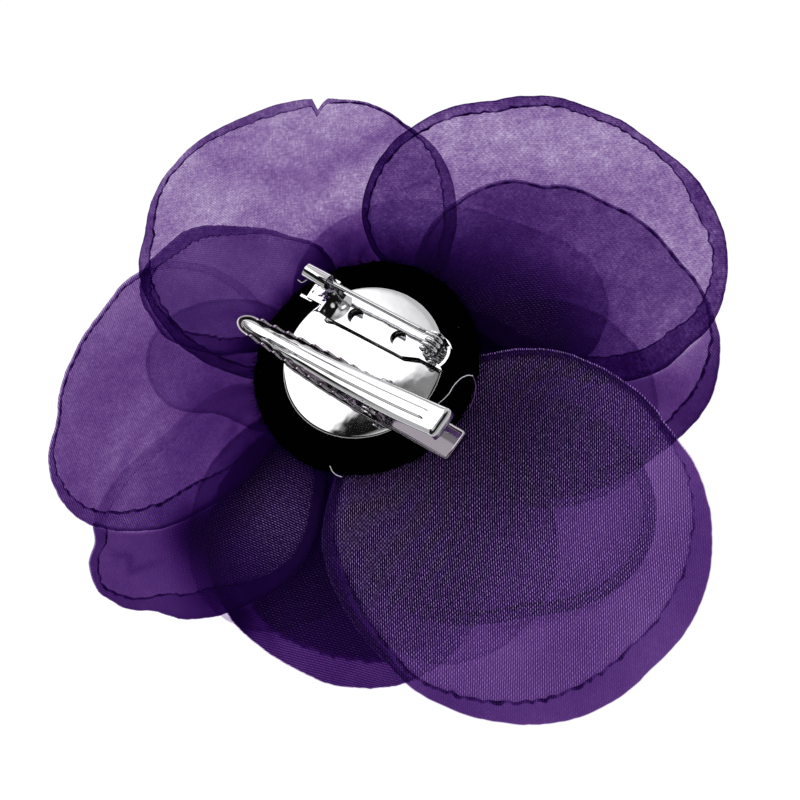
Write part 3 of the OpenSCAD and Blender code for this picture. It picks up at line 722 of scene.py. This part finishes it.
def base_disc(material):
    top, low = DISC_TOP, disc_low[2] / MM
    radius = (disc_high[0] - disc_low[0]) / 2 / MM
    crown = 0.25
    profile = [(0.02, top)] + [(r, top - crown * (r / radius) ** 2) for r in np.linspace(0.7, 13.5, 20)]
    edge_z = top - crown
    soft = 0.32
    profile += [(radius - soft * (1 - math.sin(b)), edge_z - soft * (1 - math.cos(b)))
                for b in np.radians([15, 40, 65, 90])]
    profile += [(radius, low + 0.12), (radius - 0.05, low + 0.03), (radius - 0.15, low), (0.02, low)]
    points, faces = loft(lathe(profile, 180))
    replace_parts(mesh_piece("base_disc_metal", points, faces, material), "base_disc")


def felt_pad(material):
    low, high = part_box("felt_pad")
    radius = (high[0] - low[0]) / 2 / MM
    low_z, top = low[2] / MM, high[2] / MM
    edge = 1.1
    inside = radius - edge
    arc = np.radians(np.linspace(10, 90, 9))
    profile = [(r, top) for r in np.linspace(0.05, inside, 40)]
    profile += [(inside + edge * math.sin(b), top - edge * (1 - math.cos(b))) for b in arc]
    profile += [(inside + edge * math.sin(b), low_z + edge * (1 - math.cos(b))) for b in arc[::-1]]
    profile += [(r, low_z) for r in np.linspace(inside, 0.05, 8)]
    points, faces = loft(lathe(profile, 300))
    x, y, z = points[:, 0] - HUB[0], points[:, 1] - HUB[1], points[:, 2]
    out = np.hypot(x, y)
    rim = smooth_step(out, radius - 3, radius - 0.2)
    fuzz = 0.11 * ripple(x + z, y - z, 11, 1.6, 12) + 0.1 * ripple(x, y, 12, 7)
    scale = 1 + (fuzz * rim - 0.12 * rim) / np.maximum(out, 1)
    points[:, 0] = HUB[0] + x * scale
    points[:, 1] = HUB[1] + y * scale
    middle = (top + low_z) / 2
    bulk = np.where(z > middle, -1.0, 1.0) * 0.05 * np.abs(ripple(x, y, 13, 1.3, 12)) * smooth_step(out, 2, 6)
    points[:, 2] = z + bulk
    pad = mesh_piece("felt_pad_cloth", points, faces, material)
    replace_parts(pad, "felt_pad")

    rng = np.random.default_rng(5)
    hairs = []
    for _ in range(3200):
        side = rng.uniform(0, TAU)
        up = rng.uniform(0, 1)
        r = radius - 0.25 - 5 * max(0, up - 0.55) * rng.uniform(0, 1)
        z = low_z + 0.4 + (top - low_z - 0.35) * min(1, up * 1.5)
        start = np.array([HUB[0] + r * math.cos(side), HUB[1] + r * math.sin(side), z - 0.1])
        out_way = np.array([math.cos(side), math.sin(side), 0])
        lift = np.array([0, 0, 0.35 if up > 0.6 else 0])
        way = out_way * rng.uniform(0.2, 1) + rng.normal(0, 0.5, 3) + lift
        bend = rng.normal(0, 0.5, 3)
        size = rng.uniform(0.35, 1.2)
        path = [start + way * size * t + bend * size * t * t for t in (0, 0.35, 0.7, 1)]
        hairs.append(tube(path, [0.035, 0.03, 0.022, 0.01], 3))
    points, faces = join(hairs)
    points[:, 2] = np.minimum(points[:, 2], top + 0.45)
    mesh_piece("felt_fibres", points, faces, material)


# Metal pieces are measured from the disc's top face, and the clip along its own line
def at_metal(points):
    return np.asarray(points, float) + [HUB[0], HUB[1], METAL]


def at_clip(points):
    points = np.asarray(points, float)
    turn = math.radians(-2)
    x = points[:, 0] * math.cos(turn) - points[:, 1] * math.sin(turn)
    y = points[:, 0] * math.sin(turn) + points[:, 1] * math.cos(turn) - 4.8
    return at_metal(np.c_[x, y, points[:, 2]])


# The pin's wire: its radius, the hinge, the coil, and the needle's line, root and length
WIRE_R = 0.375
HINGE_X, HINGE_Z, COIL_R, NEEDLE_Y = 10.5, 2.775, 1.4, 8.5
NEEDLE_ROOT, NEEDLE_LENGTH = 8.3, 23.7


def pin_wire(material):
    turns, pitch = 3, 0.9
    steps = np.linspace(0, 1, turns * 32 + 1)
    angle = math.pi / 2 - TAU * turns * steps
    path = [(x, NEEDLE_Y, HINGE_Z + COIL_R) for x in (HINGE_X - 1.72, HINGE_X - 1.2, HINGE_X - 0.6)]
    path += [(HINGE_X + COIL_R * math.cos(a), NEEDLE_Y - pitch * turns * t, HINGE_Z + COIL_R * math.sin(a))
             for a, t in zip(angle, steps)]
    radius = np.full(len(path), WIRE_R)
    radius[0], radius[-1] = WIRE_R - 0.06, WIRE_R - 0.08
    points, faces = tube(path, radius, 20)
    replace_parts(mesh_piece("pin_coil_wire", at_metal(points), faces, material), "pin_coil")

    root = np.radians([4, 30, 60, 90])
    taper, tip = NEEDLE_ROOT - 18, NEEDLE_ROOT - NEEDLE_LENGTH
    x = np.concatenate([NEEDLE_ROOT + WIRE_R * np.cos(root), np.linspace(NEEDLE_ROOT - 1, taper, 24),
                        np.linspace(taper - 0.5, taper - 3, 6), np.linspace(taper - 3.4, tip, 7)])
    radius = np.concatenate([WIRE_R * np.sin(root), np.full(24, WIRE_R),
                             np.linspace(0.37, 0.33, 6), np.linspace(0.3, 0.08, 7)])
    path = np.c_[x, np.full(len(x), NEEDLE_Y), np.full(len(x), HINGE_Z + COIL_R)]
    points, faces = tube(path, radius, 24)
    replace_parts(mesh_piece("pin_needle_wire", at_metal(points), faces, material, body="needle"), "pin_needle")


# Half width of each jaw along the clip, the axle in both, and the pitch of the teeth
LOWER = [(-20.4, 1.8), (-16, 2.1), (-10, 2.6), (-4, 2.95), (4, 3.1), (12, 3.0), (20, 2.9), (23, 2.85)]
UPPER = [(-20.4, 1.05), (-16, 1.35), (-10, 1.8), (-4, 2.1), (2, 2.35), (9, 2.6), (14, 2.7), (24, 2.7)]
AXLE_X, AXLE_Z = 8, 3.2
TOOTH = 2.7


def lever_height(x):
    return 1.4 + 9.9 * np.clip((x + 24) / 48, 0, 1.4) ** 2.1


def half_width(table, x, tip):
    first = table[0][0]
    plain = np.interp(x, [s[0] for s in table], [s[1] for s in table])
    nose = np.sqrt(np.clip(1 - (np.clip(first - x, 0, None) / (first - tip)) ** 2, 0, 1))
    return plain * np.where(x < first, nose, 1)


def slab(outline, y0, y1, soft):
    """An outline in x and z, made thick along y, with softened edges."""
    outline = np.asarray(outline, float)
    middle = outline.mean(axis=0)
    inner = outline + (middle - outline) / np.linalg.norm(middle - outline, axis=1)[:, None] * soft
    rings = [np.c_[ring[:, 0], np.full(len(ring), y), ring[:, 1]]
             for ring, y in ((inner, y0), (outline, y0 + soft), (outline, y1 - soft), (inner, y1))]
    return loft(rings)


def ear_outline(radius, low=None):
    """An ear round the axle, down to a height or, without one, up to the lever."""
    turn = np.linspace(180, 360, 15) if low is None else np.linspace(0, 180, 15)
    arc = [(AXLE_X + radius * math.cos(t), AXLE_Z + radius * math.sin(t)) for t in np.radians(turn)]
    if low is None:
        return arc + [(x, lever_height(x)) for x in (AXLE_X + radius, AXLE_X - radius)]
    return arc + [(AXLE_X - radius - 0.5, low), (AXLE_X + radius + 0.5, low)]


def upper_jaw(material):
    tip, end, bend_r, thick = -22.2, 22.45, 0.75, 0.42
    nose = tip + 1.8 * (1 - np.cos(np.radians(np.linspace(8, 90, 10))))
    stations = np.concatenate([nose, np.linspace(-20, end, 130)])
    rows = []
    for x in stations:
        slope = (lever_height(x + 0.01) - lever_height(x - 0.01)) / 0.02
        rows.append((np.array([x, lever_height(x)]), math.atan(slope), x))
    corner, lean = rows[-1][0], rows[-1][1]
    pivot = corner + bend_r * np.array([math.sin(lean), -math.cos(lean)])
    for t in np.radians(np.linspace(12, 96, 8)):
        way = lean - t
        rows.append((pivot + bend_r * np.array([-math.sin(way), math.cos(way)]), way, end))
    last, way = rows[-1][0], rows[-1][1]
    for step in (0.3, 0.6, 0.9, 1.05):
        rows.append((last + step * np.array([math.cos(way), math.sin(way)]), way, end))

    across = np.concatenate([np.linspace(-1, -0.9, 3), np.linspace(-0.84, 0.84, 35), np.linspace(0.9, 1, 3)])
    rings = []
    for index, (place, way, x) in enumerate(rows):
        w = float(half_width(UPPER, x, tip))
        y = across * w
        rib_w = 0.62 + 0.2 * np.clip((x + 16) / 30, 0, 1)
        rib = smooth_step(np.array(x), -16.9, -15.6) * (1 - smooth_step(np.array(x), 19.2, 20))
        rib = rib * (1 - smooth_step(np.abs(y), rib_w - 0.16, rib_w + 0.14))
        groove = math.exp(-((x + 13.6) / 2.6) ** 2) * np.exp(-((np.abs(y) - rib_w - 0.2) / 0.16) ** 2)
        on_lever = index < len(stations)
        top = 0.22 - 0.42 * np.abs(across) ** 5 * min(1, w)
        top = top + on_lever * (0.34 * rib - 0.4 * groove)
        edge = np.array([0.1, 0.03]) if index else np.array([0.1, 0.1])
        normal = np.array([-math.sin(way), math.cos(way)])
        upper = np.c_[place[0] + normal[0] * top, y, place[1] + normal[1] * top]
        low = top - thick
        low[:2] += edge
        low[-2:] += edge[::-1]
        under = np.c_[place[0] + normal[0] * low, y * 0.985, place[1] + normal[1] * low][::-1]
        rings.append(np.concatenate([upper, under]))
    parts = [loft(rings)]
    for side in (-1, 1):
        parts.append(slab(ear_outline(1.4), side * 2.1 - 0.25, side * 2.1 + 0.25, 0.06))
    points, faces = join(parts)
    piece = mesh_piece("clip_upper_jaw_metal", at_clip(points), faces, material, body="upper_jaw")
    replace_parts(piece, "clip_upper_jaw")


def wall_height(x):
    """Top of the lower jaw's wall: a plain nose, a row of teeth, then a plain rim."""
    phase = ((x + 20.2) / TOOTH) % 1
    tooth = 1.3 + 1.1 * np.clip(1.15 - 2.3 * np.abs(phase - 0.5), 0, 1)
    plain = np.interp(x, [-24, -20.2, 4.1, 12, 20, 25], [1.3, 1.3, 1.3, 1.2, 1.3, 1.7])
    return np.where((x > -20.2) & (x < 4.1), tooth, plain)


def lower_jaw(material):
    tip, end = -23.4, 23.8
    nose = [(-20.4 + 3 * math.cos(a), 1.8 * math.sin(a)) for a in np.radians(np.linspace(92, 268, 40))]
    x = np.arange(-20.2, 23.2, 0.15)
    low = np.c_[x, -half_width(LOWER, x, tip)]
    corner = [(23.2 + 0.6 * math.sin(a), -2.25 - 0.6 * math.cos(a))
              for a in np.radians(np.linspace(10, 90, 7))]
    back = [(end, y) for y in np.linspace(-2, 2, 14)]
    other = [(cx, -cy) for cx, cy in corner[::-1]]
    outline = np.array(nose + low.tolist() + corner + back + other + np.c_[x, -low[:, 1]][::-1].tolist())
    along = np.roll(outline, -1, axis=0) - np.roll(outline, 1, axis=0)
    along /= np.linalg.norm(along, axis=1)[:, None]
    inward = np.c_[-along[:, 1], along[:, 0]]
    top = wall_height(outline[:, 0])
    flat = np.zeros(len(outline))
    levels = [(0.32, flat), (0.14, flat + 0.04), (0.04, flat + 0.14), (0, flat + 0.32), (0, top - 0.1),
        (0.04, top - 0.03), (0.12, top), (0.3, top), (0.38, top - 0.04), (0.42, top - 0.12),
        (0.46, flat + 0.85), (0.54, flat + 0.68), (0.72, flat + 0.6)]
    rings = [np.c_[outline + inward * inset, z] for inset, z in levels]
    parts = [loft(rings)]
    for side in (-1, 1):
        parts.append(slab(ear_outline(1.6, 0.3), side * 2.8 - 0.25, side * 2.8 + 0.25, 0.06))
    points, faces = join(parts)
    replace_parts(mesh_piece("clip_lower_jaw_metal", at_clip(points), faces, material), "clip_lower_jaw")


def finish_node(name, material, edge=0.0):
    """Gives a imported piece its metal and, where it has sharp edges, softens them."""
    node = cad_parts[name]
    node.data.materials.clear()
    node.data.materials.append(material)
    if edge:
        weld = node.modifiers.new("weld", "WELD")
        weld.merge_threshold = 0.000002
        plain = node.modifiers.new("plain", "DECIMATE")
        plain.decimate_type = "DISSOLVE"
        plain.angle_limit = math.radians(1)
        bevel = node.modifiers.new("soft_edges", "BEVEL")
        bevel.width = edge * MM
        bevel.segments = 3
        bevel.limit_method = "ANGLE"
        bevel.angle_limit = math.radians(35)
        bevel.harden_normals = True


def at_pixel(px, py, height):
    """Point at a height over the frame's floor that the camera sees at a pixel of its picture."""
    camera = bpy.context.scene.camera
    eye = Vector(camera.location) / MM
    step = MM_PER_PIXEL / CAMERA_DISTANCE
    ray = -CAMERA_BACK + step * ((px - PICTURE / 2) * CAMERA_SIDE + (PICTURE / 2 - py) * CAMERA_UP)
    return np.array(eye + ray * ((height - eye.z) / ray.z))


# Loose threads, through pixels of the photograph: column, row and height over the felt
THREAD_PIXELS = {
    "thread_loop": [(438, 404, 0), (443, 400, 0.6), (449, 394, 1.2), (454, 385, 1.6), (461, 378, 1.6),
        (468, 375, 1), (473, 376, 0.3)],
    "thread_arc": [(473, 376, 0.3), (476, 384, 0), (475, 396, -1), (470, 408, -2)],
    "thread_low": [(330, 466, 0), (332, 471, 0.3), (336, 475, 0.2), (342, 477, -0.3)],
    "thread_left": [(298, 280, 0.5), (302, 283, 0.9), (307, 280, 0.6)],
}


def stray_thread(name, radius, material):
    knots = np.array([at_pixel(px, py, FELT_TOP + up) for px, py, up in THREAD_PIXELS[name]])
    t = np.arange(len(knots))
    fine = np.linspace(0, len(knots) - 1, 12 * len(knots))
    path = np.c_[[np.interp(fine, t, knots[:, i]) for i in range(3)]].T
    for _ in range(24):
        path[1:-1] = (path[:-2] + 2 * path[1:-1] + path[2:]) / 4
    points, faces = tube(path, radius, 6)
    mesh_piece(name, points, faces, material)


def studio():
    """A wide pale floor that glows like a light table, and a surround with one large soft light."""
    material, n = new_material("pale_floor")
    place = n.add("ShaderNodeTexCoord").outputs["Object"]
    tone = n.blend(n.noise(place, 3), (0.9, 0.9, 0.9, 1), (0.94, 0.94, 0.94, 1))
    glow = n.add("ShaderNodeEmission", {"Color": (1, 1, 1, 1), "Strength": 1.0})
    paper = n.add("ShaderNodeBsdfDiffuse", {"Color": tone})
    dim = n.add("ShaderNodeMixShader", {0: 0.08, 1: glow.outputs[0], 2: paper.outputs[0]})
    faint = n.add("ShaderNodeEmission", {"Strength": 0.06})
    n.output(n.add("ShaderNodeAddShader", {0: dim.outputs[0], 1: faint.outputs[0]}).outputs[0])
    mesh = bpy.data.meshes.new("floor")
    mesh.from_pydata([(-3, -3, 0), (3, -3, 0), (3, 3, 0), (-3, 3, 0)], [], [(0, 1, 2, 3)])
    mesh.materials.append(material)
    floor = bpy.data.objects.new("floor", mesh)
    bpy.context.scene.collection.objects.link(floor)

    world = bpy.data.worlds.new("studio")
    world.use_nodes = True
    world.node_tree.nodes.clear()
    n = Nodes(world.node_tree)
    way = n.add("ShaderNodeTexCoord").outputs["Generated"]
    up = n.add("ShaderNodeSeparateXYZ", {0: way}).outputs[2]
    side_x, side_y = 0.469, 0.883
    side = n.dot(way, (side_x, side_y, 0))
    ahead = n.dot(way, (-side_y, side_x, 0))
    panel = n.math("MULTIPLY", n.span(up, 0.915, 0.928, 1, 0), n.span(up, 0.12, 0.3, 0.2, 1))
    panel = n.math("MULTIPLY", panel, n.span(side, 0.02, 0.2, 1, 0.2))
    past = n.math("MAXIMUM", n.math("SUBTRACT", ahead, 0.58), 0)
    near = n.math("ADD", side, n.math("MULTIPLY", past, 0.9))
    edges = n.math("MULTIPLY", n.span(near, -0.36, -0.28), n.span(ahead, -0.05, 0.15))
    panel = n.math("MULTIPLY", panel, edges)
    dusk = n.math("MULTIPLY", n.span(side, 0, 0.09, 0.004, 0.22), n.span(ahead, 0.05, 0.2, 0.02, 1))
    band = n.math("MULTIPLY", n.span(up, 0.0, 0.16, 0.03, 0.42), n.span(up, 0.42, 0.6, 1, 0.012))
    zenith = n.span(up, 0.955, 0.99, 0, 0.65)
    room = n.math("MAXIMUM", n.math("MAXIMUM", band, zenith), dusk)
    level = n.math("ADD", n.math("MULTIPLY", panel, 1.35), room)
    path = n.add("ShaderNodeLightPath")
    level = n.choose(path.outputs["Is Glossy Ray"], 0.8, level)
    strength = n.choose(path.outputs["Is Camera Ray"], level, 1.0)
    back = n.add("ShaderNodeBackground", {"Color": (1, 1, 1, 1), "Strength": strength})
    out = n.add("ShaderNodeOutputWorld")
    n.tree.links.new(back.outputs[0], out.inputs["Surface"])
    scene = bpy.context.scene
    scene.world = world
    scene.view_settings.view_transform = "Standard"
    scene.cycles.transparent_max_bounces = 40


metal = steel("polished_steel")
base_disc(steel("domed_steel", dome=2.3))
felt_pad(felt_material())
soft_steel = steel("soft_steel", rough=0.13)
pin_wire(steel("wire_steel", rough=0.06))
upper_jaw(steel("lever_steel", rough=0.06, nose=((HUB[0] + 20, HUB[1] - 6, DISC_TOP + 9), 31)))
# The tray's darker steel is painted shade
lower_jaw(steel("tray_steel", rough=0.05, lean=(-0.05, -0.1, 0), shade=0.72))
worn_end = (HUB[0] - 10.6, HUB[1] + 6.4, DISC_TOP + 0.8)
finish_node("pin_bar", steel("stamped_steel", waves=0.4, dents=(worn_end, 3.6, 0.8)), 0.12)
finish_node("pin_rivet", soft_steel, 0.06)
finish_node("clip_axle", metal, 0.06)
finish_node("clip_spring", metal)

white_thread = thread_material("white_thread", (0.8, 0.78, 0.85, 1))
purple_thread = thread_material("purple_thread", (0.16, 0.06, 0.3, 1))
stray_thread("thread_loop", 0.075, white_thread)
stray_thread("thread_arc", 0.06, purple_thread)
stray_thread("thread_low", 0.07, white_thread)
stray_thread("thread_left", 0.07, white_thread)
studio()
